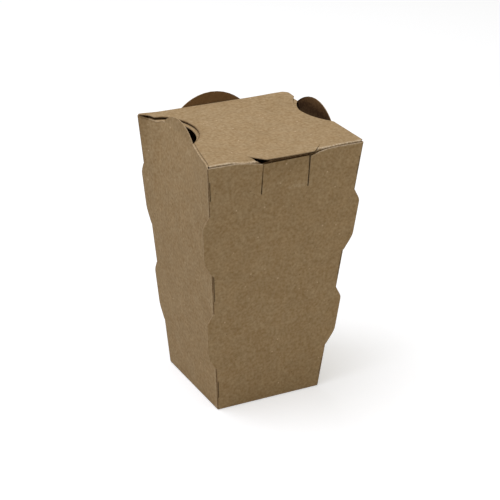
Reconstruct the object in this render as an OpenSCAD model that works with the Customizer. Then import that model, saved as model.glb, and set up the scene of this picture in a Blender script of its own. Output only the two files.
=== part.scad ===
// A kraft board takeaway box: a tall tapered carton, wider at the top than at the base,
// folded from one die-cut blank, with a lid that is hinged along the back and tucks in
// behind the front wall. X runs along the front wall, the front faces -Y and Z is up.
// The origin is the middle of the underside.

/* [Board] */
// Thickness of the kraft board
board = 0.5; // [0.4:0.05:0.6]

/* [Carton] */
// Width of the top, along the front wall
top_w = 100; // [94:1:106]
// Depth of the top, from front to back
top_d = 94; // [88:1:100]
// Width of the base
base_w = 69; // [64:1:76]
// Depth of the base
base_d = 67; // [62:1:74]
// Height of the walls
body_h = 162.6; // [150:1:180]

/* [Half-moons] */
// Width of a half-moon along its fold
moon_chord = 40; // [34:1:44]
// Height of a half-moon above its fold
moon_h = 7.5; // [6:0.5:9]
// How far behind the middle the two side half-moons stand
side_moon_y = 11.3; // [6:0.5:14]

/* [Corner ears] */
// How far an ear stands out from its corner
ear_out = 4.4; // [3:0.1:6]
// Height of the middle of the upper ears, as a share of the walls' height
upper_ear_at = 0.695; // [0.66:0.005:0.72]
// Height of the middle of the lower ears, as a share of the walls' height
lower_ear_at = 0.3; // [0.26:0.005:0.34]
// Length of an ear along the corner
ear_len = 39.5; // [34:0.5:44]
// Length of the round upper end of an ear
ear_top_run = 7; // [5:0.5:9]
// Length of the round lower end of an ear
ear_foot_run = 11; // [8:0.5:13]

/* [Corner slits] */
// Width of the slits that ease the corner folds
corner_slit_w = 0.4; // [0.3:0.1:0.8]
// Length of the slit above the upper ears and of the one below the lower ears
end_slit_len = 12; // [8:1:14]
// Length of the slit between the ears
mid_slit_len = 17; // [12:1:20]
// Distance of the end slits from the top and from the base
end_slit_gap = 8.4; // [7:0.2:12]

/* [Front wall] */
// Distance between the two slits of the tongue
slit_gap = 30; // [26:1:34]
// Length of a slit below the wall's top edge
slit_len = 19; // [14:1:24]
// Width of a slit
slit_w = 0.7; // [0.5:0.1:1]
// How far the top edge dips beside the slits
dip = 2.8; // [1:0.1:4]
// Length of the dip beside each slit
dip_len = 17; // [12:1:20]

/* [Dust flaps] */
// How far a dust flap reaches in from its fold
flap_reach = 36; // [28:1:38]
// Distance of a dust flap's ends from the front and back of the top
flap_end_gap = 3.5; // [3:0.5:9]
// How much shorter a dust flap is at each end of its free edge
flap_taper = 6.5; // [4:0.5:12]
// Corner radius of the dust flaps
flap_r = 7; // [4:1:10]

/* [Pushed-in left wall] */
// How far the left wall is pushed in at the front end of its half-moon
push_front = 9.6; // [0:0.2:12]
// How far the left wall is pushed in at the back end of its half-moon
push_back = 10.8; // [0:0.2:12]
// Depth below the top over which the push fades out
push_h = 75; // [50:1:100]

/* [Lid] */
// Clearance between the lid and the folded dust flaps
lid_gap = 0.3; // [0.2:0.05:0.5]
// Clearance between the lid's hinge and the standing back half-moon
hinge_gap = 0.3; // [0.2:0.05:0.5]
// How far the lid reaches out past the right wall
lid_over = 0.4; // [0:0.1:1]
// Distance of the lid's left edge from the left wall's outer face
lid_left_in = 1; // [0.6:0.1:2]
// Length of the notches in the lid's two sides
notch_chord = 46.5; // [42:0.5:50]
// Depth of the notch in the right side
notch_depth = 9; // [8:0.5:12]
// Depth of the notch in the left side
left_notch_depth = 11.5; // [8:0.5:13]

/* [Tuck flap and lip] */
// Clearance between the tuck flap and the front wall
tuck_gap = 0.7; // [0.6:0.1:1.2]
// Length of the tuck flap below the fold
tuck_len = 15; // [10:1:16]
// Angle by which the tuck flap leans into the box
tuck_lean = 9; // [8:1:14]
// Corner radius of the tuck flap
tuck_r = 9; // [5:1:12]
// How much shorter the tuck flap is at each end of its free edge
tuck_taper = 3; // [1:0.5:6]
// How far the ends of the tuck flap stay clear of the side walls
tuck_side_gap = 0.9; // [0.6:0.1:2]
// Outer radius of the front fold
bend_r = 1.1; // [0.8:0.1:1.6]
// Width of the lip at its root
lip_root_w = 46; // [42:1:50]
// Width of the lip at its free edge
lip_tip_w = 30.5; // [26:0.5:34]
// How far the lip stands out past the front wall
lip_out = 1.7; // [1:0.1:3]
// Length of the lip from its root to its free edge
lip_len = 7.4; // [6:0.1:9]
// How far the lip sits right of the middle
lip_x = 1.2; // [-2:0.1:2]
// Width of the cut on each side of the lip
lip_cut = 0.5; // [0.3:0.1:0.8]

/* [Hidden] */
$fn = 96;
kraft = [0.60, 0.50, 0.37];
kraft_lid = [0.68, 0.58, 0.45];

// Welded faces lie this far inside each other instead of face to face
weld = 0.05;
// A root strip that ties a standing tab to its wall
root = 1.2;
// A length that is certain to pass through one wall
through = 5;

// The outer faces lean out by these angles
front_lean = atan((top_d - base_d) / 2 / body_h);
side_lean = atan((top_w - base_w) / 2 / body_h);

upper_ear_z = upper_ear_at * body_h;
lower_ear_z = lower_ear_at * body_h;

function half_w(z) = (base_w + (top_w - base_w) * z / body_h) / 2;
function half_d(z) = (base_d + (top_d - base_d) * z / body_h) / 2;
function lerp(a, b, t) = a + (b - a) * t;
// Radius of the circle whose segment has this chord and this height
function segment_r(chord, rise) = (chord * chord / 4 + rise * rise) / (2 * rise);

// The left wall is pushed in. Places along it run from 0 at the front corner to 1 at the back one.
u_front = 0.5 + (side_moon_y - moon_chord / 2) / top_d;
u_back = 0.5 + (side_moon_y + moon_chord / 2) / top_d;
back_fall = 0.6;
function push_top(u) =
    u < u_front ? push_front * u / u_front :
    u < u_back ? lerp(push_front, push_back, (u - u_front) / (u_back - u_front)) :
    push_back * pow(max(0, 1 - u) / (1 - u_back), back_fall);
function push_fade(z) = pow(max(0, 1 - (body_h - z) / push_h), 2);
front_steps = 5;
moon_steps = 6;
back_steps = 5;
push_places = concat(
    [for (i = [1 : back_steps - 1]) lerp(1, u_back, i / back_steps)],
    [for (i = [0 : moon_steps - 1]) lerp(u_back, u_front, i / moon_steps)],
    [for (i = [0 : front_steps - 1]) lerp(u_front, 0, i / front_steps)]
);
push_levels = 8;
levels = concat([0], [for (i = [0 : push_levels]) lerp(body_h - push_h, body_h, i / push_levels)]);

// One closed ring of the walls at height z, seen from above it runs anticlockwise.
// side, front and back are how far it lies inside the outer faces.
function ring(z, side, front, back) = concat(
    [
        [side - half_w(z), front - half_d(z), z],
        [half_w(z) - side, front - half_d(z), z],
        [half_w(z) - side, half_d(z) - back, z],
        [side - half_w(z), half_d(z) - back, z]
    ],
    [for (u = push_places) [
        side - half_w(z) + push_top(u) * push_fade(z),
        lerp(front - half_d(z), half_d(z) - back, u),
        z
    ]]
);

// A thin tube between two stacks of rings
module tube(outer, inner) {
    count = len(outer[0]);
    last = len(outer) - 1;
    shift = count * len(outer);
    points = concat([for (r = outer) each r], [for (r = inner) each r]);
    faces = concat(
        [for (j = [0 : last - 1], i = [0 : count - 1]) let (k = (i + 1) % count, a = j * count, b = a + count)
            each [
                [a + i, b + i, b + k],
                [a + i, b + k, a + k],
                [shift + a + i, shift + b + k, shift + b + i],
                [shift + a + i, shift + a + k, shift + b + k]
            ]],
        [for (i = [0 : count - 1]) let (k = (i + 1) % count, t = last * count)
            each [
                [i, k, shift + k],
                [i, shift + k, shift + i],
                [t + i, shift + t + i, shift + t + k],
                [t + i, shift + t + k, t + k]
            ]]
    );
    polyhedron(points, faces, convexity = 10);
}

// The walls. The back wall is two layers that are glued together, the others are one.
module walls() {
    tube(
        [for (z = levels) ring(z, 0, 0, 0)],
        [for (z = levels) ring(z, board, board, 2 * board)]
    );
}

// Draws on a wall: X runs along it, Y up its slope, and the board is 0 to board thick in Z.
// The walls are the front one at 0, the right one at 90, the back one at 180, the left one at 270.
module on_wall(turn) {
    side = turn == 90 || turn == 270;
    rotate([0, 0, turn])
        translate([0, -(side ? base_w : base_d) / 2, 0])
            rotate([90 + (side ? side_lean : front_lean), 0, 0])
                translate([0, 0, -board])
                    children();
}

// An ear's outline is a straight edge along the corner with a round end above and below it.
// Both start where the ear stands low out of its corner: 0 on the ear, more on its window.
top_r = segment_r(2 * ear_top_run, ear_out);
foot_r = segment_r(2 * ear_foot_run, ear_out);
arc_steps = 6;
function ear_arc(r, s) = ear_out - r + sqrt(r * r - s * s);
function ear_run(r, low) = sqrt(r * r - pow(low - ear_out + r, 2));
function ear_points(low) = concat(
    [for (i = [arc_steps : -1 : 0]) let (s = ear_run(foot_r, low) * i / arc_steps)
        [ear_foot_run - ear_len / 2 - s, ear_arc(foot_r, s)]],
    [for (i = [0 : arc_steps]) let (s = ear_run(top_r, low) * i / arc_steps)
        [ear_len / 2 - ear_top_run + s, ear_arc(top_r, s)]]
);

// The outline on a wall: the corner runs up the slope, and out says which way the ear stands.
// Its root reaches behind the corner.
module ear_outline(base, top, lean, mid_z, low, root, out) {
    slope = (top - base) / 2 / body_h;
    points = [for (p = ear_points(low)) let (z = mid_z + p[0])
        [base / 2 + slope * z + out * p[1], z / cos(lean)]];
    ends = [points[len(points) - 1], points[0]];
    polygon(concat(points, root > 0 ? [for (p = ends) [p[0] - root, p[1]]] : []));
}

module ears() {
    for (z = [upper_ear_z, lower_ear_z]) {
        for (side = [0, 1]) {
            on_wall(0)
                mirror([side, 0, 0])
                    translate([0, 0, weld])
                        linear_extrude(board - 2 * weld)
                            ear_outline(base_w, top_w, front_lean, z, 0, root, 1);
            on_wall(side == 0 ? 90 : 270)
                mirror([side, 0, 0])
                    translate([0, 0, weld])
                        linear_extrude(board - 2 * weld)
                            ear_outline(base_d, top_d, side_lean, z, 0, root, 1);
        }
    }
}

// Each ear leaves a window of its own shape in the wall round the corner, clear of the ear's wall.
// Those in the back wall end just behind it, so that the pushed-in left wall stays whole.
window_low = board + 2 * weld;
module ear_windows() {
    for (z = [upper_ear_z, lower_ear_z]) {
        for (side = [0, 1]) {
            on_wall(side == 0 ? 270 : 90)
                mirror([side, 0, 0])
                    translate([0, 0, -through])
                        linear_extrude(2 * through)
                            ear_outline(base_d, top_d, side_lean, z, window_low, 0, -1);
            on_wall(180)
                mirror([side, 0, 0])
                    translate([0, 0, -board - 2 * weld])
                        linear_extrude(through)
                            ear_outline(base_w, top_w, front_lean, z, window_low, 0, -1);
        }
    }
}

// Slits through the front and back walls, right beside the corner folds, ease the folding.
// The one at the top of the back left corner is pressed shut by the pushed-in wall.
slit_low = end_slit_gap;
slit_high = body_h - end_slit_gap;
slit_mid = upper_ear_z - ear_len / 2 - mid_slit_len / 2;
corner_slits = [
    [slit_low, slit_low + end_slit_len],
    [slit_mid - mid_slit_len / 2, slit_mid + mid_slit_len / 2],
    [slit_high - end_slit_len, slit_high]
];

module corner_cuts() {
    slope = (top_w - base_w) / 2 / body_h;
    near = base_w / 2 - board - 2 * weld;
    for (turn = [0, 180], side = [0, 1], span = corner_slits)
        if (turn == 0 || side == 1 || span[0] < body_h - push_h)
            on_wall(turn)
                mirror([side, 0, 0])
                    translate([0, 0, -board - 2 * weld])
                        linear_extrude(through)
                            polygon([
                                [near + slope * span[0], span[0] / cos(front_lean)],
                                [near + slope * span[1], span[1] / cos(front_lean)],
                                [near + slope * span[1] - corner_slit_w, span[1] / cos(front_lean)],
                                [near + slope * span[0] - corner_slit_w, span[0] / cos(front_lean)]
                            ]);
}

// A half-moon, standing on its fold
moon_r = segment_r(moon_chord, moon_h);
module half_moon() {
    intersection() {
        translate([0, moon_h - moon_r])
            circle(moon_r);
        translate([-moon_chord / 2, 0])
            square([moon_chord, moon_h]);
    }
}

module standing_moon() {
    translate([0, 0, weld])
        linear_extrude(board - 2 * weld)
            union() {
                half_moon();
                translate([weld - moon_chord / 2, -root])
                    square([moon_chord - 2 * weld, root + weld]);
            }
}

// The left half-moon stands on the pushed-in stretch of its wall
left_moon_x = -top_w / 2 + (push_front + push_back) / 2;
left_moon_turn = atan((push_back - push_front) / moon_chord);
left_moon_lean = atan(tan(side_lean) - (push_front + push_back) / push_h);

module moons() {
    on_wall(90)
        translate([side_moon_y, body_h / cos(side_lean), 0])
            standing_moon();
    on_wall(180)
        translate([0, body_h / cos(front_lean), 0])
            standing_moon();
    translate([left_moon_x, side_moon_y, body_h])
        rotate([0, 0, 270 - left_moon_turn])
            rotate([90 + left_moon_lean, 0, 0])
                translate([0, 0, -board])
                    standing_moon();
}

// The two dust flaps are folded in under the lid, and each has the hole that its half-moon left
flap_z = body_h - board - 2 * weld;
flap_half = top_d / 2 - flap_end_gap;
flap_tip_half = flap_half - flap_taper;
fold_in = board / 2;

module flap_tip(x, out) {
    for (side = [-1, 1])
        translate([x + out * flap_r, side * (flap_tip_half - flap_r)])
            circle(flap_r);
}

module right_flap() {
    fold_x = top_w / 2 - fold_in;
    tip_x = top_w / 2 - flap_reach;
    difference() {
        union() {
            polygon([
                [fold_x, -flap_half],
                [fold_x, flap_half],
                [tip_x + flap_r, flap_tip_half],
                [tip_x, flap_tip_half - flap_r],
                [tip_x, flap_r - flap_tip_half],
                [tip_x + flap_r, -flap_tip_half]
            ]);
            flap_tip(tip_x, 1);
        }
        translate([top_w / 2 - board, side_moon_y])
            rotate(90)
                half_moon();
    }
}

module left_flap() {
    tip_x = left_moon_x + flap_reach;
    fold = [for (u = push_places) let (y = (u - 0.5) * top_d) if (abs(y) < flap_half)
        [fold_in - top_w / 2 + push_top(u), y]];
    difference() {
        union() {
            polygon(concat(fold, [
                [tip_x - flap_r, -flap_tip_half],
                [tip_x, flap_r - flap_tip_half],
                [tip_x, flap_tip_half - flap_r],
                [tip_x - flap_r, flap_tip_half]
            ]));
            flap_tip(tip_x, -1);
        }
        translate([left_moon_x + board, side_moon_y])
            rotate(-90 - left_moon_turn)
                half_moon();
    }
}

module dust_flaps() {
    translate([0, 0, flap_z])
        linear_extrude(board)
            union() {
                right_flap();
                left_flap();
            }
}

module base() {
    translate([fold_in - base_w / 2, fold_in - base_d / 2, 0])
        cube([base_w - 2 * fold_in, base_d - 2 * fold_in, board]);
}

// Two slits set the front wall's tongue free, and the top edge dips beside them
module front_cuts() {
    slit_in = slit_gap / 2 - slit_w / 2;
    slit_out = slit_gap / 2 + slit_w / 2;
    translate([0, through - top_d / 2, 0])
        rotate([90, 0, 0])
            linear_extrude(2 * through)
                for (side = [0, 1])
                    mirror([side, 0, 0])
                        polygon([
                            [slit_in, body_h - dip - slit_len],
                            [slit_out, body_h - dip - slit_len],
                            [slit_out, body_h - dip],
                            [slit_out + dip_len, body_h],
                            [slit_out + dip_len, body_h + 1],
                            [slit_in, body_h + 1]
                        ]);
}

module carton() {
    color(kraft)
        union() {
            difference() {
                walls();
                ear_windows();
                corner_cuts();
                front_cuts();
            }
            ears();
            moons();
            dust_flaps();
            base();
        }
}

// The lid lies on the dust flaps. It turns about the middle of its back edge.
lid_z = body_h + lid_gap;
hinge_y = half_d(lid_z) - board - hinge_gap - board / 2;
lid_back = hinge_y + board / 2;
lid_right = top_w / 2 + lid_over;
front_y = tuck_gap + board - top_d / 2;
panel_y = front_y + bend_r;
bend_z = lid_z + board - bend_r;

// The lid's left edge follows the pushed-in wall
lid_left = [for (u = push_places) let (y = (u - 0.5) * top_d) if (y < hinge_y && y > panel_y)
    [lid_left_in - top_w / 2 + push_top(u), y]];

module notch(x, depth, out) {
    r = segment_r(notch_chord, depth);
    translate([x + out * (r - depth), side_moon_y])
        circle(r);
}

// The lip stays in the lid's plane when the tuck flap is folded down
lip_tip_y = -top_d / 2 - lip_out;
lip_root_y = lip_tip_y + lip_len;
lip_slant = (lip_root_w - lip_tip_w) / 2 / lip_len;
bend_gap = lip_root_w / 2 - lip_slant * (lip_root_y - panel_y) + lip_cut;
tuck_end = top_w / 2 - board - tuck_side_gap;

module lid_panel() {
    difference() {
        polygon(concat(
            lid_left,
            [
                [lid_left_in - top_w / 2, panel_y],
                [lid_right, panel_y],
                [lid_right, lid_back],
                [lid_left_in - top_w / 2, lid_back]
            ]
        ));
        notch(lid_right, notch_depth, 1);
        notch(lid_left_in + left_moon_x, left_notch_depth, -1);
        translate([lip_x, 0])
            polygon([
                [-lip_root_w / 2 - lip_cut, lip_root_y],
                [-bend_gap, panel_y],
                [-bend_gap, panel_y - 1],
                [bend_gap, panel_y - 1],
                [bend_gap, panel_y],
                [lip_root_w / 2 + lip_cut, lip_root_y]
            ]);
    }
}

module lip() {
    translate([lip_x, 0])
        polygon([
            [-lip_tip_w / 2, lip_tip_y],
            [lip_tip_w / 2, lip_tip_y],
            [lip_root_w / 2, lip_root_y + weld],
            [-lip_root_w / 2, lip_root_y + weld]
        ]);
}

// The fold from the lid into the tuck flap and the flap below it, seen from the side
fold_steps = 8;
flap_down = [sin(tuck_lean), -cos(tuck_lean)];
function fold_arc(r) = [for (i = [0 : fold_steps]) let (a = 90 + (90 + tuck_lean) * i / fold_steps)
    [r * cos(a), r * sin(a)]];

module fold_and_flap() {
    outer = fold_arc(bend_r);
    inner = fold_arc(bend_r - board);
    ends = [for (arc = [outer, inner]) arc[fold_steps] + (tuck_len + 1) * flap_down];
    translate([-tuck_end, panel_y, bend_z])
        rotate([90, 0, 90])
            linear_extrude(2 * tuck_end)
                polygon(concat(outer, ends, [for (i = [fold_steps : -1 : 0]) inner[i]]));
}

// Its outline from the front: round lower corners, and the gap that the lip was cut out of
module flap_outline() {
    foot = tuck_end - tuck_taper;
    drop = tuck_len * cos(tuck_lean);
    recess = lip_len - (lip_root_y - panel_y) - bend_r;
    difference() {
        union() {
            polygon([
                [-tuck_end - 1, 2 * bend_r],
                [-tuck_end - 1, 0],
                [-tuck_end, 0],
                [-foot, tuck_r - drop],
                [tuck_r - foot, -drop],
                [foot - tuck_r, -drop],
                [foot, tuck_r - drop],
                [tuck_end, 0],
                [tuck_end + 1, 0],
                [tuck_end + 1, 2 * bend_r]
            ]);
            intersection() {
                for (side = [-1, 1])
                    translate([side * (foot - tuck_r), tuck_r - drop])
                        circle(tuck_r);
                translate([-foot, -drop])
                    square([2 * foot, tuck_r]);
            }
        }
        translate([lip_x, 0])
            polygon([
                [-bend_gap, 3 * bend_r],
                [-bend_gap, 0],
                [-lip_tip_w / 2, -recess],
                [lip_tip_w / 2, -recess],
                [bend_gap, 0],
                [bend_gap, 3 * bend_r]
            ]);
    }
}

module tuck_flap() {
    intersection() {
        fold_and_flap();
        translate([0, panel_y + tuck_len, bend_z - bend_r * sin(tuck_lean)])
            rotate([90, 0, 0])
                linear_extrude(2 * tuck_len)
                    flap_outline();
    }
}

module lid() {
    color(kraft_lid)
        union() {
            translate([0, 0, lid_z])
                linear_extrude(board)
                    union() {
                        lid_panel();
                        lip();
                    }
            tuck_flap();
        }
}

carton();
lid();
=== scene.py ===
# %% [markdown]
# # A kraft board takeaway box
# The real box is one die-cut sheet of brown kraft board, creased, folded and glued, with a
# lid that tucks in behind the front wall. The CAD frame holds its true sizes. Here the
# same box gets its looks: soft creases, cut edges, and board that is full of fibres.

import math

import bpy
import numpy as np
from mathutils import Matrix, Vector


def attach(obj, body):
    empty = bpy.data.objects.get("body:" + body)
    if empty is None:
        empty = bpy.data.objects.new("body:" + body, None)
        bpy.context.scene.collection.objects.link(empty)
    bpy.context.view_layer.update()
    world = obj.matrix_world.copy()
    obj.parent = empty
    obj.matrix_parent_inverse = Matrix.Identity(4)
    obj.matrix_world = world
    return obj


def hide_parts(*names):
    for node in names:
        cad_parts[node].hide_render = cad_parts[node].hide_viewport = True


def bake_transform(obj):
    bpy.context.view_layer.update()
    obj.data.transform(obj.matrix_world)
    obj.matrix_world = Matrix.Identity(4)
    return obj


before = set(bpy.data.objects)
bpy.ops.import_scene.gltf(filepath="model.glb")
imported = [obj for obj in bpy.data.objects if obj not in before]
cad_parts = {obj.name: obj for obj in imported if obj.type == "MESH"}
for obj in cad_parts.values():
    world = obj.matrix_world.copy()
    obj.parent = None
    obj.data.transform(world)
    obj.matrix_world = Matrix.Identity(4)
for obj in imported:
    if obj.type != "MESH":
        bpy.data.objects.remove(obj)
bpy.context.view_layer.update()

# %% [markdown]
# ## The camera
# A long lens, front left of the box and above it, as in the photograph. Its place and its roll
# come from fitting the box's corners to the photograph's.

# %% Camera
MM = 0.001
PICTURE_PX, SENSOR_MM = 500, 36


def place_camera(azimuth, elevation, roll, distance, aim_x, aim_z, focal_px):
    """Angles are in degrees. The camera looks aim_z above the origin, aim_x to the side."""
    a, e, r = (math.radians(v) for v in (azimuth, elevation, roll))
    back = Vector((math.sin(a) * math.cos(e), -math.cos(a) * math.cos(e), math.sin(e)))
    level = Vector((math.cos(a), math.sin(a), 0))
    above = back.cross(level)
    right = level * math.cos(r) + above * math.sin(r)
    up = above * math.cos(r) - level * math.sin(r)
    spot = Vector((0, 0, aim_z)) + back * distance + right * aim_x
    data = bpy.data.cameras.new("camera")
    data.sensor_width = SENSOR_MM
    data.lens = focal_px / PICTURE_PX * SENSOR_MM
    data.clip_start, data.clip_end = 0.05, 50
    camera = bpy.data.objects.new("camera", data)
    bpy.context.collection.objects.link(camera)
    turn = Matrix((right, up, back)).transposed().to_4x4()
    camera.matrix_world = Matrix.Translation(spot) @ turn
    bpy.context.scene.camera = camera
    print("camera at", tuple(round(v, 3) for v in spot), "lens", round(data.lens, 1))


place_camera(azimuth=-28.293, elevation=24.878, roll=1.338, distance=979.887 * MM,
             aim_x=2.5155 * MM, aim_z=84.563 * MM, focal_px=1628.12)

# %% [markdown]
# ## Kraft board
# Kraft board is pressed from long unbleached fibres, so it is never one colour: broad soft
# clouds, a fine fibre grain, and small dark and light flecks. All of it is worked out in
# the object's own space, so it stays on the board when the lid turns.

# %% Nodes for the board
def add_node(tree, kind, **values):
    node = tree.nodes.new(kind)
    for name, value in values.items():
        if name in node.inputs:
            node.inputs[name].default_value = value
        else:
            setattr(node, name, value)
    return node


def mix_colours(tree, amount, first, second, blend="MIX"):
    """Mixes two colours. A Mix node has sockets of its own for colours: 6, 7 and output 2."""
    node = tree.nodes.new("ShaderNodeMix")
    node.data_type = "RGBA"
    node.blend_type = blend
    for socket, value in ((node.inputs[0], amount), (node.inputs[6], first), (node.inputs[7], second)):
        if isinstance(value, (int, float, tuple)):
            socket.default_value = value
        else:
            tree.links.new(value, socket)
    return node.outputs[2]


def band(tree, value, low, high, to_low=0.0, to_high=1.0):
    """Stretches the values from low to high over the range from to_low to to_high."""
    node = tree.nodes.new("ShaderNodeMapRange")
    node.clamp = True
    tree.links.new(value, node.inputs["Value"])
    node.inputs["From Min"].default_value = low
    node.inputs["From Max"].default_value = high
    node.inputs["To Min"].default_value = to_low
    node.inputs["To Max"].default_value = to_high
    return node.outputs["Result"]


def times(tree, first, second):
    node = tree.nodes.new("ShaderNodeMath")
    node.operation = "MULTIPLY"
    for socket, value in zip(node.inputs, (first, second)):
        if isinstance(value, (int, float)):
            socket.default_value = value
        else:
            tree.links.new(value, socket)
    return node.outputs[0]


# %% The board's finish
CHANNEL_SHIFT = (0.4, 0.49, 0.66)


def kraft_board(name, paper, grain=1.0):
    """Uncoated board of one average colour. grain is how strongly its fibres show. The scales
    are cells to the metre, so 620 is a grain of about 1.6 mm and 70 a cloud of 14 mm."""
    material = bpy.data.materials.new(name)
    material.use_nodes = True
    tree = material.node_tree
    shader = tree.nodes["Principled BSDF"]
    shader.inputs["Roughness"].default_value = 0.85
    shader.inputs["Specular IOR Level"].default_value = 0.2
    place = add_node(tree, "ShaderNodeTexCoord").outputs["Object"]

    def noise(scale, detail, rough=0.5):
        node = add_node(tree, "ShaderNodeTexNoise", Scale=scale, Detail=detail, Roughness=rough)
        tree.links.new(place, node.inputs["Vector"])
        return node.outputs["Fac"]

    def tint(red, green, blue):
        return (paper[0] * red, paper[1] * green, paper[2] * blue, 1)

    def specks(scale, size, share):
        """Round specks, in a share of the cells of a loose grid."""
        node = add_node(tree, "ShaderNodeTexVoronoi", Scale=scale)
        tree.links.new(place, node.inputs["Vector"])
        chosen = add_node(tree, "ShaderNodeSeparateColor")
        tree.links.new(node.outputs["Color"], chosen.inputs["Color"])
        dots = band(tree, node.outputs["Distance"], 0.5 * size, size, 1, 0)
        return times(tree, dots, band(tree, chosen.outputs["Red"], 1 - share, 1 - 0.8 * share))

    def mark(attribute):
        return add_node(tree, "ShaderNodeAttribute", attribute_name=attribute).outputs["Fac"]

    fine, middle, clouds, hue = noise(620, 2, 0.45), noise(300, 2), noise(70, 3), noise(150, 2)
    warm, cool = tint(1.008, 0.995, 0.975), tint(0.995, 1.003, 1.015)
    colour = mix_colours(tree, band(tree, hue, 0.36, 0.64), warm, cool)
    shades = ((clouds, 0.16, 0.09), (middle, 0.2, 0.1 * grain), (fine, 0.25, 0.44 * grain))
    for value, reach, amount in shades:
        # blue shifts most, so pale fibres are greyer than the board and dark ones browner
        deep = tuple(1 - amount * shift for shift in CHANNEL_SHIFT) + (1,)
        pale = tuple(1 + amount * shift for shift in CHANNEL_SHIFT) + (1,)
        share = band(tree, value, 0.5 - reach, 0.5 + reach)
        shade = mix_colours(tree, share, deep, pale)
        colour = mix_colours(tree, 1.0, colour, shade, "MULTIPLY")
    light_specks = times(tree, specks(330, 0.2, 0.07), 0.85 * grain)
    colour = mix_colours(tree, light_specks, colour, tint(1.7, 1.85, 2.3))
    dark_specks = times(tree, specks(410, 0.17, 0.09), 0.75 * grain)
    colour = mix_colours(tree, dark_specks, colour, tint(0.36, 0.33, 0.34))
    # the marks of folding, which also carry painted shade and a painted highlight, broken up to look torn,
    # not drawn
    fuzz = band(tree, noise(700, 3, 0.6), 0.36, 0.6)
    # the lighter mark: worn, fuzzy folds, and a painted highlight along the front wall's cut top
    creased_and_highlit = times(tree, mark("crease_and_highlight"), band(tree, fuzz, 0, 1, 0.15, 1.25))
    colour = mix_colours(tree, creased_and_highlit, colour, tint(1.75, 2.05, 2.75))
    # the darker mark: score lines pressed in, and painted shade where it is laid on places in shade
    scored_and_shaded = times(tree, mark("score_and_shade"), band(tree, fuzz, 0, 1, 1, 0.65))
    colour = mix_colours(tree, scored_and_shaded, colour, tint(0.27, 0.21, 0.16))
    tree.links.new(colour, shader.inputs["Base Color"])
    bump = add_node(tree, "ShaderNodeBump", Strength=0.3, Distance=0.0002)
    tree.links.new(fine, bump.inputs["Height"])
    tree.links.new(bump.outputs["Normal"], shader.inputs["Normal"])
    print("finish", name)
    return material


outside = kraft_board("kraft_outside", (0.385, 0.265, 0.138))
inside = kraft_board("kraft_inside", (0.212, 0.122, 0.053), 0.6)
cut_edge = kraft_board("kraft_cut_edge", (0.40, 0.285, 0.165), 0.8)

# %% [markdown]
# ## The box's sizes
# In millimetres. The tapered box of half millimetre board repeats the CAD's sizes. The ears that
# stand out of its corners and the half-moons on its top folds follow the CAD's too, but their
# ends and places are set more finely, because hand folding moves each one a little.

# %% Sizes
BOARD = 0.5
TOP_W, TOP_D, BASE_W, BASE_D, WALL_H = 100, 94, 69, 67, 162.6
EAR_OUT, EAR_LEN, EAR_TOP, EAR_FOOT = 4.4, 39.5, 8.5, 11.5
EARS = (0.3 * WALL_H, 0.695 * WALL_H)
MOON_W, MOON_H = 40, 7.5
LEFT_MOON_Y, RIGHT_MOON_Y, BACK_MOON_X = 11.5, 9.8, -1.0
CORNER_R, FOLD_R, BASE_R = 0.8, 0.8, 0.5
SLIT_W = 0.5
SLIT_SPANS = ((8.4, 20.4), (76.2, EARS[1] - EAR_LEN / 2), (142.2, 154.2))
TONGUE_FOOT = 140.8


def half_w(z):
    return (BASE_W + (TOP_W - BASE_W) * z / WALL_H) / 2


def half_d(z):
    return (BASE_D + (TOP_D - BASE_D) * z / WALL_H) / 2


def lerp(a, b, t):
    return a + (b - a) * t


def ease(t):
    t = min(1, max(0, t))
    return t * t * (3 - 2 * t)


def along_table(table, x):
    """Reads a value between the marks of a table, in straight steps."""
    for (x0, v0), (x1, v1) in zip(table, table[1:]):
        if x <= x1:
            return lerp(v0, v1, max(0, x - x0) / (x1 - x0))
    return table[-1][1]


def arch(s, chord, rise):
    """Height of a round-topped tab at the distance s from its middle."""
    if abs(s) >= chord / 2:
        return 0.0
    r = (chord * chord / 4 + rise * rise) / (2 * rise)
    return rise - r + math.sqrt(r * r - s * s)


def ear_reach(z):
    """How far the ears stand out at a height: soft ends, the lower one longer."""
    for middle in EARS:
        t = z - middle
        if abs(t) < EAR_LEN / 2 - 0.001:
            share = min(1, (t + EAR_LEN / 2) / EAR_FOOT, (EAR_LEN / 2 - t) / EAR_TOP)
            return EAR_OUT * (math.sin(math.pi / 2 * share) + ease(share)) / 2
    return 0.0


print("ear reach at the lower ear", ear_reach(EARS[0]), "half-moon", MOON_W, "x", MOON_H)

# %% [markdown]
# ## The pushed-in left wall
# A hand pushed the left wall in where its half-moon stands. The table says how far the top
# fold lies in, from the front corner to the back one. The push fades out down the wall.

# %% The push
PUSH = ((-47, 0), (-41, 2.2), (-28.5, 4.6), (-16.8, 7.3), (-8.7, 9.5), (0, 10), (31.3, 10.8),
        (33.6, 10.2), (36.2, 7.4), (40.2, 5.9), (43.2, 4.6), (47, 0))
PUSH_SMOOTH, PUSH_DEPTH, PUSH_END = 1.2, 75, 1.5
WALL_END = TOP_D / 2
GAPE, GAPE_FROM, GAPE_OVER = 1.1, 150, 12


def push(y, z):
    """How far the left wall is pushed in at that place along it and that height. The table's
    corners are rounded by taking the middle of five places close together."""
    at = y * WALL_END / half_d(z)
    near = [at + k * PUSH_SMOOTH / 2 for k in (-2, -1, 0, 1, 2)]
    steps = [along_table(PUSH, max(-WALL_END, min(WALL_END, place))) for place in near]
    near_end = min(1, (WALL_END - abs(at)) / PUSH_END) if abs(at) < WALL_END else 0
    return sum(steps) / len(steps) * near_end * max(0, 1 - (WALL_H - z) / PUSH_DEPTH) ** 2


def gape(y):
    """How far the left wall's top hangs below the lid near the back corner."""
    return GAPE * ease((y - 33) / 2.5) * ease((WALL_END - y) / 5)


print("push at the top, middle of the wall", round(push(0, WALL_H), 2), "mm")

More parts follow.
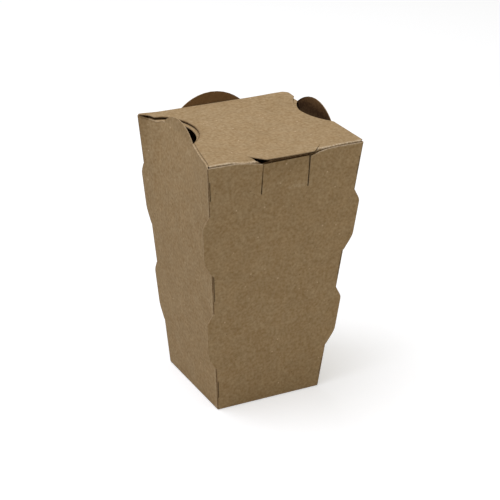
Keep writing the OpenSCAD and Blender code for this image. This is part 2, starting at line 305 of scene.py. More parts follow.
# %% [markdown]
# ## Laying the sheet
# Board has no thickness to speak of while it is being folded, so each panel starts as one
# grid whose points are laid where the folded sheet goes. Panels meet point on point, are
# joined, and only then get their thickness. That keeps one sheet, as on the real box.

# %% Lay a panel
def lay_sheet(name, rows, open_faces=()):
    """A grid of board, its points laid in rows (mm). open_faces are left out: (row, column)."""
    bpy.ops.object.select_all(action="DESELECT")
    across, along = len(rows[0]) - 1, len(rows) - 1
    bpy.ops.mesh.primitive_grid_add(x_subdivisions=across, y_subdivisions=along, size=1)
    sheet = bpy.context.object
    sheet.name = name
    flat = [value * MM for row in rows for point in row for value in point]
    sheet.data.vertices.foreach_set("co", flat)
    sheet.data.update()
    if open_faces:
        bpy.ops.object.mode_set(mode="EDIT")
        bpy.ops.mesh.select_mode(type="FACE")
        bpy.ops.mesh.select_all(action="DESELECT")
        bpy.ops.object.mode_set(mode="OBJECT")
        for row, column in open_faces:
            sheet.data.polygons[row * across + column].select = True
        bpy.ops.object.mode_set(mode="EDIT")
        bpy.ops.mesh.delete(type="FACE")
        bpy.ops.object.mode_set(mode="OBJECT")
    return sheet


# %% Join the panels of a sheet
SEAM, SLIVER = 0.02, 0.001


def join_sheets(name, sheets):
    """Joins the panels of one sheet, point on point, with every face turned outwards."""
    bpy.ops.object.select_all(action="DESELECT")
    for sheet in sheets:
        sheet.select_set(True)
    bpy.context.view_layer.objects.active = sheets[0]
    if len(sheets) > 1:
        bpy.ops.object.join()
    whole = bpy.context.object
    whole.name = name
    bpy.ops.object.mode_set(mode="EDIT")
    bpy.ops.mesh.select_all(action="SELECT")
    bpy.ops.mesh.remove_doubles(threshold=SEAM * MM)
    bpy.ops.mesh.dissolve_degenerate(threshold=SLIVER * MM)
    bpy.ops.mesh.delete_loose()
    bpy.ops.mesh.select_all(action="SELECT")
    bpy.ops.mesh.normals_make_consistent(inside=False)
    bpy.ops.object.mode_set(mode="OBJECT")
    print(name, len(whole.data.polygons), "faces")
    return whole


# %% Give a sheet its thickness
def apply_modifier(piece, kind, **settings):
    modifier = piece.modifiers.new(kind.lower(), kind)
    for setting, value in settings.items():
        setattr(modifier, setting, value)
    bpy.ops.object.select_all(action="DESELECT")
    piece.select_set(True)
    bpy.context.view_layer.objects.active = piece
    bpy.ops.object.modifier_apply(modifier=modifier.name)


def give_board(piece, facing, finishes):
    """Turns the faces so that the one nearest the place facing[0] points along facing[1], then
    thickens the sheet inwards. finishes are the outside, the inside and the cut edge."""
    place, way = Vector(facing[0]) * MM, Vector(facing[1])
    nearest = min(piece.data.polygons, key=lambda face: (face.center - place).length)
    if nearest.normal.dot(way) < 0:
        piece.data.flip_normals()
    for finish in finishes:
        piece.data.materials.append(finish)
    apply_modifier(piece, "SOLIDIFY", thickness=BOARD * MM, offset=-1, use_even_offset=True,
                   material_offset=1, material_offset_rim=2)
    bpy.ops.object.shade_smooth_by_angle(angle=math.radians(40))


def join_parts(piece, parts):
    """Joins finished parts to a piece, without merging them."""
    bpy.ops.object.select_all(action="DESELECT")
    for part in [piece] + parts:
        part.select_set(True)
    bpy.context.view_layer.objects.active = piece
    bpy.ops.object.join()


# %% [markdown]
# ## Marks of folding
# Folding breaks the top fibres of the board: the fold turns lighter and fuzzy, and the score
# line pressed in beside it is darker. Each point of the mesh gets a value for the two marks,
# full on the line and fading beside it, and the finish reads them. The darker mark also paints
# shade into three places that lie in shade on the real box, and the lighter mark paints a
# highlight along the front wall's cut top, where it faces the light. Each is named where it is made.

# %% Marks of folding
INSIDE = 1
FAINTEST = 0.05


def mark_folds(piece, name, lines, inner_lines=()):
    """Writes one mark. Each line is its points (mm), how far it reaches and how strong it is.
    inner_lines mark the inside of the board only."""
    places = np.empty(3 * len(piece.data.vertices))
    piece.data.vertices.foreach_get("co", places)
    places = places.reshape(-1, 3) / MM
    values = np.zeros(len(places))
    inner = np.zeros(len(places))
    inside_faces = [face for face in piece.data.polygons if face.material_index == INSIDE]
    inner[[point for face in inside_faces for point in face.vertices]] = 1
    marks = [(line, reach, strength, 1) for line, reach, strength in lines]
    marks += [(line, reach, strength, inner) for line, reach, strength in inner_lines]
    for line, reach, strength, here in marks:
        for start, end in zip(np.array(line[:-1]), np.array(line[1:])):
            along = end - start
            share = np.clip((places - start) @ along / max(1e-9, along @ along), 0, 1)
            away = np.linalg.norm(places - start - share[:, None] * along, axis=1)
            values = np.maximum(values, here * strength * (1 - away / reach))
    piece.data.attributes.new(name, "FLOAT", "POINT").data.foreach_set("value", values)
    print(piece.name, name, int((values > FAINTEST).sum()), "points marked")


# %% [markdown]
# ## The four walls
# Every wall is laid in rows from the base to the top. At a corner the two walls share a round
# fold, but at an ear the one wall runs straight on past the corner and the other has a hole.

# %% Rows and corners
def wall_heights():
    """Pairs of height and inset: the round fold to the base, then up the wall."""
    turns = (0, math.pi / 6, math.pi / 3)
    fold = [(BASE_R * (1 - math.cos(a)), BASE_R * (1 - math.sin(a))) for a in turns]
    slit_rows = [8.4, 12.4, 16.4, 20.4, 76.2, 142.2, 154.2]
    tongue_rows = [136, 138.5, TONGUE_FOOT, 145, 148, 151, 156.5, 158.5, 160.3]
    marks = [BASE_R, 3, 5.5, 24.7, 72.4, 81.8, 87.6] + slit_rows + tongue_rows
    for middle in EARS:
        low, high = middle - EAR_LEN / 2, middle + EAR_LEN / 2
        straight = EAR_LEN - EAR_FOOT - EAR_TOP
        # rows lie closest on the round ends of an ear
        marks += [low + EAR_FOOT * i / 10 for i in range(10)]
        marks += [low + EAR_FOOT + straight * i / 5 for i in range(5)]
        marks += [high - EAR_TOP * (1 - i / 10) for i in range(11)]
    marks += [WALL_H - FOLD_R - 0.45, WALL_H - FOLD_R]
    return fold + [(z, 0) for z in sorted(marks)]


HEIGHTS = wall_heights()
CORNER_ZONE = 8
print("a wall has", len(HEIGHTS), "rows")


def corner_spots(half, z, inset, kind):
    """Six places from the corner inwards: distance from the wall's middle, and stand-out."""
    far = half - inset
    reach = ear_reach(z)
    if reach and kind == "ear":
        return [(far + reach, 0), (far + reach / 2, 0), (far, 0), (far - 0.5, 0), (far - CORNER_R, 0),
                (far - CORNER_R - SLIT_W, 0)]
    if reach:
        hole = max(reach, BOARD + 0.1)
        left_over = (CORNER_ZONE - hole) / CORNER_ZONE
        return [(far - hole - d * left_over, 0) for d in (0, 0.5, 1, 1.5, 3.5, CORNER_ZONE)]
    turn = [(far - CORNER_R * (1 - math.sin(a)), CORNER_R * (math.cos(a) - 1))
            for a in (math.pi / 4, math.pi / 8, 0)]
    beside_slit = (far - CORNER_R - SLIT_W, 0)
    if kind == "ear":
        return [turn[0], turn[0]] + turn + [beside_slit]
    return turn + [beside_slit, (far - 3.5, 0), (far - CORNER_ZONE, 0)]


def stand(wall, s, out, z, inset=0.0):
    """A place on a wall, s to the right as seen from outside, as a point of the box."""
    if wall == "front":
        return (s, inset - half_d(z) - out, z)
    if wall == "back":
        return (-s, half_d(z) - inset + out, z)
    if wall == "right":
        return (half_w(z) - inset + out, s, z)
    return (inset - half_w(z) - out + push(-s, z), -s, z - gape(-s) * ease((z - GAPE_FROM) / GAPE_OVER))


# %% Places along each wall
def spread(low, high, count):
    return [lerp(low, high, i / count) for i in range(count + 1)]


MOON_COLUMNS, MOON_ROWS = 14, 6


def moon_spots(middle):
    """Places along a half-moon, closer together at its ends."""
    turns = [math.pi * i / MOON_COLUMNS for i in range(MOON_COLUMNS + 1)]
    return [middle - MOON_W / 2 * math.cos(turn) for turn in turns]


SLIT_IN, SLIT_OUT = 14.65, 15.35
TONGUE = [-SLIT_IN] + spread(-11, 11, 6) + [SLIT_IN]
FRONT_SPOTS = [-46, -42, -38, -34, -32.35, -29, -25, -21, -17.5, -SLIT_OUT] + TONGUE + \
    [SLIT_OUT, 17.5, 21, 25, 29, 32.35, 34, 38, 42, 46]
BACK_SPOTS = [-38, -34, -30, -26, -23] + moon_spots(-BACK_MOON_X) + [23, 26, 30, 34, 38]
FLAP_END = 43.5


def side_spots(moon_y):
    """Places along a side wall from front to back, as seen from outside the right one."""
    near, far = [-35, -31, -27, -23, -19, -15, -12], [32.4, 33.6, 34.8, 36.2, 38, 40, 42, FLAP_END]
    return near + moon_spots(moon_y) + far


RIGHT_SPOTS = side_spots(RIGHT_MOON_Y)
LEFT_SPOTS = [-s for s in reversed(side_spots(LEFT_MOON_Y))]
WALL_SPOTS = {"front": FRONT_SPOTS, "back": BACK_SPOTS, "right": RIGHT_SPOTS, "left": LEFT_SPOTS}
END_SPOTS = 6
LEAST_GAP = 0.4
UPRIGHT_FROM, UPRIGHT_OVER = 100, 38
print("places along the walls", {wall: len(spots) for wall, spots in WALL_SPOTS.items()})


def wall_row(wall, z, inset):
    half = (half_w if wall in ("front", "back") else half_d)(z)
    top = TOP_W / 2 if wall in ("front", "back") else TOP_D / 2
    left = "ear" if wall in ("front", "left") else "hole"
    right = "ear" if wall in ("front", "right") else "hole"
    spots = WALL_SPOTS[wall]
    scale = (half - inset) / top
    if wall == "front" and z > UPRIGHT_FROM:
        # the columns of the front wall turn upright towards the top, as the tongue's slits are
        scale = lerp(scale, 1, ease((z - UPRIGHT_FROM) / UPRIGHT_OVER))
    row = [(-s, out) for s, out in corner_spots(half, z, inset, left)]
    limit_low, limit_high = row[-1][0], corner_spots(half, z, inset, right)[-1][0]
    count = len(spots)
    for i, s in enumerate(spots):
        at = s * scale
        low, high = limit_low + LEAST_GAP * (i + 1), limit_high - LEAST_GAP * (count - i)
        row.append((min(max(at, low), high), 0))
    row += list(reversed(corner_spots(half, z, inset, right)))
    return [stand(wall, s, out, z, inset) for s, out in row]


TONGUE_TOP, TONGUE_TILT, TONGUE_TIP = 159.6, 0.02, 1.1
TONGUE_HALF = (SLIT_IN + SLIT_OUT) / 2
DIP, DIP_RUN, DIP_LEFT_POWER, DIP_RIGHT_POWER = 2.8, 17, 1.3, 2
BEND_FROM = 140


def front_top(x):
    """Height of the front wall's cut top edge: it dips beside the tongue."""
    if abs(x) < TONGUE_HALF:
        return TONGUE_TOP + TONGUE_TILT * x
    power = DIP_LEFT_POWER if x < 0 else DIP_RIGHT_POWER
    return WALL_H - DIP * max(0, 1 - (abs(x) - SLIT_OUT) / DIP_RUN) ** power


def shape_front(rows):
    """Lowers the front wall's top edge beside the slits, and tips the tongue in."""
    shaped = []
    for row in rows:
        new = []
        for x, y, z in row:
            if z > BEND_FROM:
                drop = WALL_H - front_top(x)
                z -= drop * (z - BEND_FROM) / (WALL_H - BEND_FROM)
                if abs(x) < TONGUE_HALF:
                    y += TONGUE_TIP * max(0, (z - TONGUE_FOOT) / (WALL_H - TONGUE_FOOT)) ** 2
            new.append((x, y, z))
        shaped.append(new)
    return shaped


# %% The slits
def open_slits(wall):
    """Faces to leave out for the corner slits and for the two slits beside the tongue."""
    faces = []
    levels = [z for z, inset in HEIGHTS]
    last = 2 * END_SPOTS + len(WALL_SPOTS[wall]) - 2
    beside = 4 if wall == "front" else 2
    for row, (low, high) in enumerate(zip(levels, levels[1:])):
        if any(low > a - 0.01 and high < b + 0.01 for a, b in SLIT_SPANS):
            faces.append((row, beside))
            # at the top of the back left corner the pushed-in wall presses the slit shut
            if wall == "front" or high < SLIT_SPANS[-1][0]:
                faces.append((row, last - beside))
    if wall == "front":
        for row in range(levels.index(TONGUE_FOOT), len(levels)):
            faces += [(row, END_SPOTS + FRONT_SPOTS.index(spot)) for spot in (-SLIT_OUT, SLIT_IN)]
    return faces


print("faces left out of the front wall for its slits", len(open_slits("front")))


# %% Lay the walls
panels = []
tops = {}
side_folds = []
for wall in ("front", "right", "back", "left"):
    rows = [wall_row(wall, z, inset) for z, inset in HEIGHTS]
    if wall in ("front", "back"):
        rows.append(wall_row(wall, WALL_H, 0))
    if wall == "front":
        rows = shape_front(rows)
    tops[wall] = rows[-1]
    panels.append(lay_sheet(wall, rows, open_slits(wall) if wall in ("front", "back") else ()))
    print(wall, "wall", len(rows), "rows of", len(rows[0]))

# %% [markdown]
# ## Folds at the top of the side walls
# Above the side walls the sheet goes three ways. Near the corners it ends in a cut edge, along
# the half-moon it stands straight up, and in between it folds in to the dust flap, in
# which the half-moon has left a hole of its own shape.

# %% Half-moons
def straight_up(wall, s, rise):
    """A place above the wall's top fold, on along its slope, or upright where it is pushed in."""
    x, y, z = stand(wall, s, 0, WALL_H)
    if wall == "left":
        return (x, y, z + rise)
    if wall == "right":
        return (x + (TOP_W - BASE_W) / 2 / WALL_H * rise, y, z + rise)
    return (x, y + (TOP_D - BASE_D) / 2 / WALL_H * rise, z + rise)


def moon_sheet(wall, base, middle):
    """From the wall's last row up to the round edge of the half-moon."""
    rows = [base]
    for i in range(MOON_ROWS + 1):
        rises = [(s, arch(s - middle, MOON_W, MOON_H) * i / MOON_ROWS) for s in moon_spots(middle)]
        rows.append([straight_up(wall, s, rise) for s, rise in rises])
    return lay_sheet(wall + "_moon", rows)


# %% Dust flaps
LEFT_TIP_X = -3.8
RIGHT_TIP_X = TOP_W / 2 - 36
FLAP_TOP, FLAP_HALF, FLAP_TAPER, FLAP_R = 162.5, 37, 0.15, 7
HOLE_SPARE = {"right": 0.6, "left": 1.2}


def flap_sheets(wall):
    """The cut edges by the corners, the round folds, and the dust flap with its hole."""
    sign = 1 if wall == "right" else -1
    base, crest = tops[wall], wall_row(wall, WALL_H, 0)
    last = len(base) - 1
    flap_a, flap_b = (4, last - END_SPOTS) if wall == "right" else (END_SPOTS, last - 4)
    moon_y = RIGHT_MOON_Y if wall == "right" else LEFT_MOON_Y
    at_moon = [abs(y - moon_y) < MOON_W / 2 - 0.01 for x, y, z in crest]
    moon_a, moon_b = at_moon.index(True) - 1, last - at_moon[::-1].index(True) + 1
    tip_x = RIGHT_TIP_X if wall == "right" else LEFT_TIP_X

    def flap_point(c, t):
        x, y, z = crest[c]
        start = arch(y - moon_y, MOON_W, MOON_H) + HOLE_SPARE[wall] if at_moon[c] else FOLD_R
        over = max(0, abs(y) * (1 - FLAP_TAPER) - FLAP_HALF + FLAP_R)
        end_x = tip_x + sign * (FLAP_R - math.sqrt(max(0, FLAP_R ** 2 - over ** 2)))
        drop = gape(y) * max(0, 1 - 3 * t) + 0.5 * ease(6 * t) if wall == "left" else 0
        return (lerp(x - sign * start, end_x, t), y * (1 - FLAP_TAPER * t), FLAP_TOP - drop)

    made = [moon_sheet(wall, base[moon_a:moon_b + 1], sign * moon_y)]
    for a, b in ((0, flap_a), (flap_b, last)):
        made.append(lay_sheet(wall + "_edge", [base[a:b + 1], crest[a:b + 1]]))
    steps = (0, 0.04, 0.1, 0.2, 0.35, 0.5, 0.65, 0.8, 0.9, 1)
    flap_rows = [[flap_point(c, t) for c in range(flap_a, flap_b + 1)] for t in steps]
    made.append(lay_sheet(wall + "_flap", flap_rows))
    for a, b in ((flap_a, moon_a), (moon_b, flap_b)):
        rows = []
        for angle in (0, 22.5, 45, 67.5, 90):
            up, on = math.sin(math.radians(angle)), 1 - math.cos(math.radians(angle))
            ends = [(base[c], flap_point(c, 0)) for c in range(a, b + 1)]
            rows.append([(lerp(p[0], q[0], on), lerp(p[1], q[1], up), lerp(p[2], q[2], up)) for p, q in ends])
        made.append(lay_sheet(wall + "_fold", rows))
        side_folds.append(rows)
    print(wall, "top: half-moon over columns", moon_a, "to", moon_b, "of", last)
    return made


panels += flap_sheets("right") + flap_sheets("left")
back_moon_at = END_SPOTS + BACK_SPOTS.index(moon_spots(-BACK_MOON_X)[0])
panels.append(moon_sheet("back", tops["back"][back_moon_at:back_moon_at + MOON_COLUMNS + 1], -BACK_MOON_X))

# %% The base, one flat panel inside the folds
ring = [point for wall in ("front", "right", "back", "left") for point in wall_row(wall, 0, BASE_R)]
bpy.ops.object.select_all(action="DESELECT")
bpy.ops.mesh.primitive_circle_add(vertices=len(ring), radius=1, fill_type="NGON")
base_panel = bpy.context.object
base_panel.name = "base"
base_panel.data.vertices.foreach_set("co", [value * MM for point in ring for value in point])
base_panel.data.update()
panels.append(base_panel)
print("base ring", len(ring), "points")

# %% Join and thicken
carton = join_sheets("carton_board", panels)
give_board(carton, ((0, -40, 80), (0, -1, 0)), (outside, inside, cut_edge))

# %% [markdown]
# ## The glued layer of the back wall
# The lid hangs on a second layer that is glued inside the back wall. It shows only when the
# lid is open.

# %% Glued layer
LAYER_FOOT, LAYER_TOP, LAYER_IN, GLUE = 1.2, 161.0, 5, 0.03
layer_rows = []
for z in spread(LAYER_FOOT, LAYER_TOP, 20):
    half = half_w(z) - LAYER_IN
    layer_rows.append([(x, half_d(z) - BOARD - GLUE, z) for x in spread(-half, half, 12)])
layer = join_sheets("glued_layer", [lay_sheet("glued_layer", layer_rows)])
give_board(layer, ((0, 40, 80), (0, 1, 0)), (outside, inside, cut_edge))
join_parts(carton, [layer])


# %% Fold marks of the carton, with painted shade and a painted highlight
def corner_lines(wall, column):
    """The stretches of a corner fold that lie between its ears."""
    stretches = [[]]
    for z, inset in HEIGHTS:
        if ear_reach(z):
            stretches.append([])
        else:
            stretches[-1].append(wall_row(wall, z, inset)[column])
    return [stretch for stretch in stretches if len(stretch) > 1]


# each mark is a line, its reach in millimetres and its strength
scores = [(line, 0.6, 1) for line in corner_lines("front", 2) + corner_lines("front", -3)]
scores += [(line, 0.7, 0.6) for column in (0, -1) for line in corner_lines("back", column)]
scores += [(rows[0], 0.42, 0.6) for rows in side_folds]
creases_and_highlight = [(line, 1.0, 0.19) for line in corner_lines("left", -4)]
creases_and_highlight += [(rows[2], 0.9, 0.32) for rows in side_folds]
tongue_foot = [stand("front", x, 0, SLIT_SPANS[-1][0]) for x in (3, 9, 14.6)]
creases_and_highlight.append((tongue_foot, 1.5, 0.38))
# painted highlight: the lighter mark along the front wall's cut top edge, which faces up into the light
beside_tongue = END_SPOTS + FRONT_SPOTS.index(-SLIT_OUT) + 1
lit_cut_tops = [tops["front"][2:beside_tongue], tops["front"][-beside_tongue:-2]]
creases_and_highlight += [(part, 0.6, 0.5) for part in lit_cut_tops]
# painted shade: the darker mark darkens the inside of the right half-moon at its foot, a place in shade
moon_foot_shade = [straight_up("right", RIGHT_MOON_Y + at, 0) for at in (MOON_W / 2, -MOON_W / 2)]
mark_folds(carton, "score_and_shade", scores, [(moon_foot_shade, 11, 1.3)])
mark_folds(carton, "crease_and_highlight", creases_and_highlight)
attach(carton, "carton")
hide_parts("carton")
print("carton rides and replaces its CAD node")

# %% [markdown]
# ## The lid
# One more sheet: the flat panel with a round notch in each side, the lip that runs on past the
# front fold, and the tuck flap that turns down either side of it. The lid's left edge
# follows the pushed-in wall.

# %% The lid's outline
LID_TOP = 163.4
LID_BACK, LID_FRONT = 45.2, -44.7
LIP_X, LIP_ROOT_Y, LIP_TIP_Y = 1.2, -41.3, -48.7
LIP_ROOT, LIP_TIP, LEFT_CUT, RIGHT_CUT = 23.0, 15.25, 0.5, 0.25
BEND_R, TUCK_LEAN, TUCK_LEN, TUCK_END, TUCK_R = 1.1, 9, 15, 48.4, 9
RECESS = 0.9
LEFT_NOTCH_Y, LEFT_NOTCH_W, LEFT_NOTCH_IN, LEFT_NOTCH_X = 14.5, 46, 10.4, -38.8
RIGHT_NOTCH_Y, RIGHT_NOTCH_W, RIGHT_NOTCH_IN = 11.7, 47.6, 9
LEFT_CORNER, RIGHT_CORNER, CORNER_ROUND = 3.0, 3.4, 44.2
LID_LEFT_IN, LID_RIGHT_OUT = 1.1, 0.2


def lid_left(y):
    """The lid's left edge: the pushed-in wall, a corner that springs out, and the notch."""
    edge = LID_LEFT_IN + push(y, WALL_H) - TOP_W / 2
    edge -= ease((y - 36) / 3) + LEFT_CORNER * ease((y - 41) / 3.8)
    edge += 1 - math.sqrt(1 - min(1, max(0, y - CORNER_ROUND)) ** 2)
    at = y - LEFT_NOTCH_Y
    if abs(at) < LEFT_NOTCH_W / 2:
        edge = max(edge, LEFT_NOTCH_X + arch(at, LEFT_NOTCH_W, LEFT_NOTCH_IN))
    return edge


def lid_right(y):
    """The lid's right edge: straight, a corner cut back, and the notch."""
    corner = RIGHT_CORNER * ease((y - 42.5) / 4)
    notch = arch(y - RIGHT_NOTCH_Y, RIGHT_NOTCH_W, RIGHT_NOTCH_IN)
    return TOP_W / 2 + LID_RIGHT_OUT - corner - notch


print("the left notch reaches in to", round(lid_left(LEFT_NOTCH_Y), 1), "mm")
print("the right notch reaches in to", round(lid_right(RIGHT_NOTCH_Y), 1), "mm")

# %% Lay the lid
LEFT_SHARES = [0, 0.03, 0.1, 0.25, 0.45, 0.7, 1]
RIGHT_SHARES = [0, 0.25, 0.5, 0.7, 0.85, 0.93, 0.965, 1]
LIP_SHARES = spread(-1, 1, 16)


def left_part(y, cut):
    """Places from the lid's left edge to the cut beside the lip."""
    return [lerp(lid_left(y), LIP_X - cut, share) for share in LEFT_SHARES]


def right_part(y, cut):
    return [lerp(LIP_X + cut, lid_right(y), share) for share in RIGHT_SHARES]


def lip_part(half):
    return [LIP_X + half * share for share in LIP_SHARES]


def lift(x, y):
    """The lid's two back corners spring up a little."""
    return ease((y - 30) / 15) * (0.35 * ease((x - 25) / 18) + 0.6 * ease((-x - 38) / 10))


LEFT_SAG, RIGHT_SAG = 2.0, 0.5


def sag(x):
    """How far the front edge sinks beside the lip, where the slots let it."""
    away = abs(x - LIP_X)
    most = LEFT_SAG if x < 0 else RIGHT_SAG
    return most * (1 - ease((away - LIP_ROOT) / 15)) * ease((away - 10) / 6)


def cut_at(run, gap):
    """Half the width of the slot the lip was cut from, at a distance from its root."""
    return LIP_ROOT + gap - run * (LIP_ROOT - LIP_TIP) / (LIP_ROOT_Y - LIP_TIP_Y)


lid_rows = []
# rows lie close together where the outline turns: at the back corners and along the notches
lid_ys = [LID_BACK, 45, 44.7, 44, 42.8, 41.4, 40, 38.6, 37.6, 36.8, 36, 35.4, 34.6] + spread(33.6, -14, 34)
lid_ys += [-17, -20, -24, -28, -32, -36, -39, LIP_ROOT_Y]
for y in lid_ys:
    xs = left_part(y, LIP_ROOT + LEFT_CUT) + lip_part(LIP_ROOT) + right_part(y, LIP_ROOT + RIGHT_CUT)
    lid_rows.append([(x, y, LID_TOP + lift(x, y)) for x in xs])
lid_sheets = [lay_sheet("lid_panel", lid_rows)]

LIP_DROP, LIP_BOW = 0.2, 0.6
lip_rows = []
for t in spread(0, 1, 8):
    y, half = lerp(LIP_ROOT_Y, LIP_TIP_Y, t), lerp(LIP_ROOT, LIP_TIP, t)
    drops = [(s, LIP_DROP * t * (1 - LIP_BOW * s * s)) for s in LIP_SHARES]
    lip_rows.append([(LIP_X + half * s, y, LID_TOP - drop) for s, drop in drops])
lid_sheets.append(lay_sheet("lip", lip_rows))
print("lid panel", len(lid_rows), "rows, lip", len(lip_rows))

# %% Places on the front fold and the tuck flap
lean = math.radians(TUCK_LEAN)


def down_flap(fall):
    """Where the tuck flap is, at a distance below the end of the round fold."""
    y = LID_FRONT - BEND_R * math.cos(lean) + fall * math.sin(lean)
    return y, LID_TOP - BEND_R - BEND_R * math.sin(lean) - fall * math.cos(lean)


def fold_place(turned):
    """Where the round front fold is, when the board has turned by so many degrees."""
    y = LID_FRONT - BEND_R * math.sin(math.radians(turned))
    return y, LID_TOP - BEND_R + BEND_R * math.cos(math.radians(turned))


def beside_lip(side, top, run):
    """Places along one half of the front fold, from its end to the slot or back."""
    if side == "left":
        return [lerp(top, LIP_X - cut_at(run, LEFT_CUT), share) for share in LEFT_SHARES]
    shares = [share / RIGHT_SHARES[-2] for share in RIGHT_SHARES[:-1]]
    return [lerp(LIP_X + cut_at(run, RIGHT_CUT), top, share) for share in shares]


print("the tuck flap ends at", [round(v, 1) for v in down_flap(TUCK_LEN)], "mm")

# %% Lay the front fold, in halves left and right of the lip
front_folds = []
feet = []
to_fold = LIP_ROOT_Y - LID_FRONT
for side, part, gap in (("left", left_part, LEFT_CUT), ("right", right_part, RIGHT_CUT)):
    rows = []
    for t in spread(0, 1, 5):
        y = lerp(LIP_ROOT_Y, LID_FRONT, t)
        rows.append([(x, y, LID_TOP - sag(x) * t * t) for x in part(y, cut_at(to_fold * t, gap))])
    lid_sheets.append(lay_sheet("front_strip", rows))
    rows = [rows[-1] if side == "left" else rows[-1][:-1]]
    top = rows[0][0][0] if side == "left" else rows[0][-1][0]
    for turned in spread(0, 90 + TUCK_LEAN, 9)[1:]:
        y, z = fold_place(turned)
        run = to_fold + BEND_R * math.radians(turned)
        rows.append([(x, y, z - sag(x)) for x in beside_lip(side, top, run)])
    front_folds.append(rows[:])
    for fall in spread(0, RECESS, 2)[1:]:
        y, z = down_flap(fall)
        rows.append([(x, y, z - sag(x)) for x in beside_lip(side, top, run + fall)])
    lid_sheets.append(lay_sheet("front_fold", rows))
    feet.append([x for x, _, _ in rows[-1]])

print("front fold", [len(rows) for rows in front_folds], "rows")

# %% Lay the tuck flap
TUCK_NARROW = 0.062
foot_xs = feet[0] + lip_part(LIP_TIP)[1:-1] + feet[1]
rows = []
for t in (0, 0.1, 0.2, 0.35, 0.5, 0.65, 0.8, 0.9, 1):
    row = []
    for x in foot_xs:
        narrow = 1 - TUCK_NARROW * t
        foot_share = 1 - TUCK_NARROW
        over = max(0, abs(x) * foot_share - (TUCK_END * foot_share - TUCK_R))
        depth = TUCK_LEN - TUCK_R + math.sqrt(max(0, TUCK_R ** 2 - over ** 2))
        y, z = down_flap(lerp(RECESS, depth, t))
        row.append((x * narrow, y, z - sag(x) * (1 - t)))
    rows.append(row)
lid_sheets.append(lay_sheet("tuck_flap", rows))
print("tuck flap", len(rows), "rows of", len(foot_xs))

# %% Join the lid, mark its folds and paint shade into two places
lid = join_sheets("lid_board", lid_sheets)
give_board(lid, ((0, 0, LID_TOP), (0, 0, 1)), (outside, inside, cut_edge))
mark_folds(lid, "crease_and_highlight", [(fold[k], 1.0, 0.8) for fold in front_folds for k in (2, 5)])
lid_scores_and_shade = [(fold[6], 0.6, 0.7) for fold in front_folds]
# painted shade in two places that lie in shade: the strip of tuck flap that shows under the lip,
# and the left notch's rim
under_lip_shade = [row[len(feet[0]):-len(feet[1])] for row in rows[:2]]
lid_scores_and_shade += [(line, 1.2, 1.2) for line in under_lip_shade]
notch_rim_shade = [(lid_left(y), y, LID_TOP - BOARD / 2) for y in spread(35, -8.2, 24)]
lid_scores_and_shade.append((notch_rim_shade, 1.0, 1.25))
mark_folds(lid, "score_and_shade", lid_scores_and_shade)
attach(lid, "lid")
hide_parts("lid")

# %% [markdown]
# ## The fold that the lid hangs on
# On the real box the lid and the glued layer are one sheet with a crease between them. A narrow
# strip of board follows the box at its foot and the lid at its head.

# %% Back fold
HANG_R, HANG_GAP, HANG_SLOPE = 0.9, 0.1, 0.1
strip = []
for fall in (1.5, 1.0, 0.5):
    strip.append((LID_BACK + HANG_GAP + HANG_R + HANG_SLOPE * fall, LID_TOP - HANG_R - fall))
for turned in spread(0, 90, 8):
    a = math.radians(turned)
    strip.append((LID_BACK + HANG_GAP + HANG_R * math.cos(a), LID_TOP - HANG_R + HANG_R * math.sin(a)))
strip.append((LID_BACK, LID_TOP))
lid_edge = [x for x, _, _ in lid_rows[0]]
FOOT_SHARE = 0.985
fold_rows = []
for i, (y, z) in enumerate(strip):
    t = 1 - i / (len(strip) - 1)
    fold_rows.append([(lerp(x, x * FOOT_SHARE, t), y, z + lift(x, LID_BACK)) for x in lid_edge])
back_fold = join_sheets("back_fold", [lay_sheet("back_fold", fold_rows)])
give_board(back_fold, ((0, 46.2, 162), (0, 1, 0)), (outside, inside, cut_edge))
mark_folds(back_fold, "crease_and_highlight", [(fold_rows[k], 1.0, 0.19) for k in (5, 8)])
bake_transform(back_fold)

# %% [markdown]
# ## Floor and light
# A wide white floor, with soft light from above and a weak one low at the right. The floor glows a
# little for the camera alone: it looks white without more light on the box, and keeps its shadow.

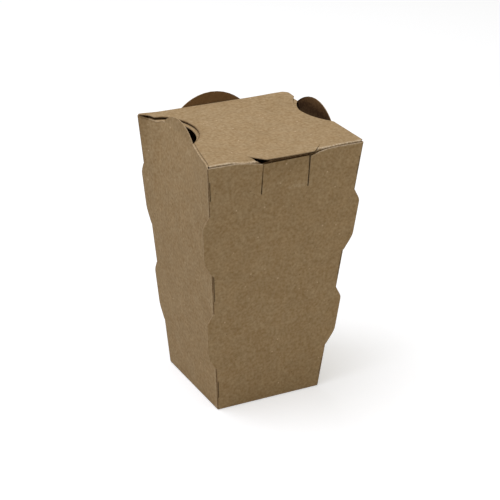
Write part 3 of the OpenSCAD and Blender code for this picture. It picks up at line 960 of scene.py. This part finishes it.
# %% Floor
bpy.ops.object.select_all(action="DESELECT")
bpy.ops.mesh.primitive_plane_add(size=12, location=(0, 0, -0.0002))
floor = bpy.context.object
floor.name = "floor"
floor_finish = bpy.data.materials.new("white_floor")
floor_finish.use_nodes = True
tree = floor_finish.node_tree
tree.nodes.clear()
matt = add_node(tree, "ShaderNodeBsdfDiffuse", Color=(0.8, 0.8, 0.8, 1))
glow = add_node(tree, "ShaderNodeEmission", Color=(0.97, 0.985, 1, 1), Strength=0.46)
none = add_node(tree, "ShaderNodeEmission", Color=(0, 0, 0, 1), Strength=0)
seen = add_node(tree, "ShaderNodeLightPath")
pick = add_node(tree, "ShaderNodeMixShader")
both = add_node(tree, "ShaderNodeAddShader")
out = add_node(tree, "ShaderNodeOutputMaterial")
tree.links.new(seen.outputs["Is Camera Ray"], pick.inputs[0])
tree.links.new(none.outputs[0], pick.inputs[1])
tree.links.new(glow.outputs[0], pick.inputs[2])
tree.links.new(matt.outputs[0], both.inputs[0])
tree.links.new(pick.outputs[0], both.inputs[1])
tree.links.new(both.outputs[0], out.inputs["Surface"])
floor.data.materials.append(floor_finish)
print("floor", round(floor.dimensions.x), "m wide, a hair below the box")

# %% World and lamps
scene = bpy.context.scene
scene.view_settings.view_transform = "Standard"
world = scene.world or bpy.data.worlds.new("world")
scene.world = world
world.use_nodes = True
tree = world.node_tree
tree.nodes.clear()
sky = add_node(tree, "ShaderNodeBackground", Color=(1, 0.92, 0.73, 1), Strength=0.27)
white = add_node(tree, "ShaderNodeBackground", Color=(1, 1, 1, 1), Strength=1.0)
seen = add_node(tree, "ShaderNodeLightPath")
pick = add_node(tree, "ShaderNodeMixShader")
out = add_node(tree, "ShaderNodeOutputWorld")
tree.links.new(seen.outputs["Is Camera Ray"], pick.inputs[0])
tree.links.new(sky.outputs[0], pick.inputs[1])
tree.links.new(white.outputs[0], pick.inputs[2])
tree.links.new(pick.outputs[0], out.inputs["Surface"])


def soft_lamp(name, spot, aim, size, watts, colour):
    data = bpy.data.lights.new(name, "AREA")
    data.shape = "SQUARE"
    data.size = size
    data.energy = watts
    data.color = colour
    lamp = bpy.data.objects.new(name, data)
    bpy.context.collection.objects.link(lamp)
    lamp.location = spot
    lamp.rotation_mode = "QUATERNION"
    lamp.rotation_quaternion = (Vector(aim) - Vector(spot)).to_track_quat("-Z", "Y")
    print("lamp", name, watts, "W")


soft_lamp("above", (-0.39, 0.08, 1.58), (0, 0, 0.1), 1.4, 21, (0.98, 1.01, 1.12))
soft_lamp("right", (0.3, -0.32, 0.1), (0.03, 0, 0.04), 0.3, 0.14, (1.0, 0.92, 0.68))
